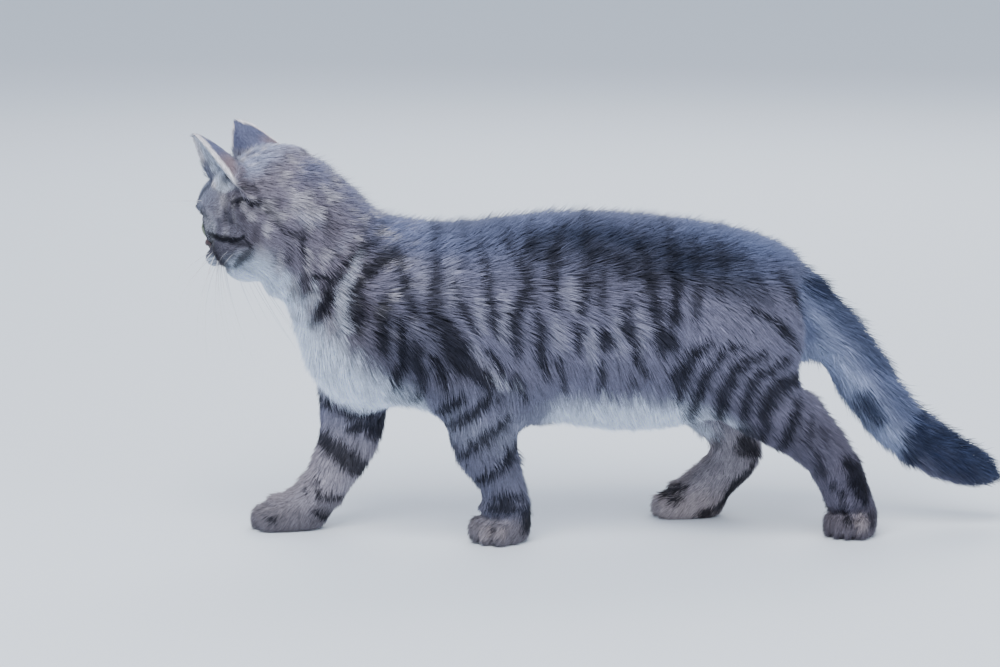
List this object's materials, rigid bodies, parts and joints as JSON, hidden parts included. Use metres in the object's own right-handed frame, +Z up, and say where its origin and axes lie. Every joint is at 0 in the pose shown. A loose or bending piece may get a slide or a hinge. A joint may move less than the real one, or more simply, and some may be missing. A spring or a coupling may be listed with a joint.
{
  "type": "cat",
  "caption": "Young short-haired blue-grey tabby cat in mid stride with its head turned to its right and its tail held low; a still life-size model that stands on its paws",
  "frame": {"origin": "centre of the bounding box's footprint, at floor level", "axes": "+Z up; the cat walks towards -X; its left side faces -Y"},
  "size_m": [0.388, 0.0936, 0.196],
  "materials": {
    "coat": "soft short fur, grey tabby with dark stripes",
    "ear": "thinly furred, pinkish grey inside",
    "eye": "wet and clear",
    "nose": "moist leather, fine pebbled"
  },
  "bodies": {
    "root": {"eye_left": "eye", "ear_left": "ear", "eye_right": "eye", "ear_right": "ear", "nose": "nose", "head": "coat", "forepaw_left": "coat", "foreleg_left": "coat", "forepaw_right": "coat", "foreleg_right": "coat", "hindfoot_left": "coat", "shank_left": "coat", "thigh_left": "coat", "hindfoot_right": "coat", "shank_right": "coat", "thigh_right": "coat", "tail_base": "coat", "tail_middle": "coat", "tail_tip": "coat", "neck": "coat", "chest": "coat", "belly": "coat", "rump": "coat"}
  },
  "joints": []
}
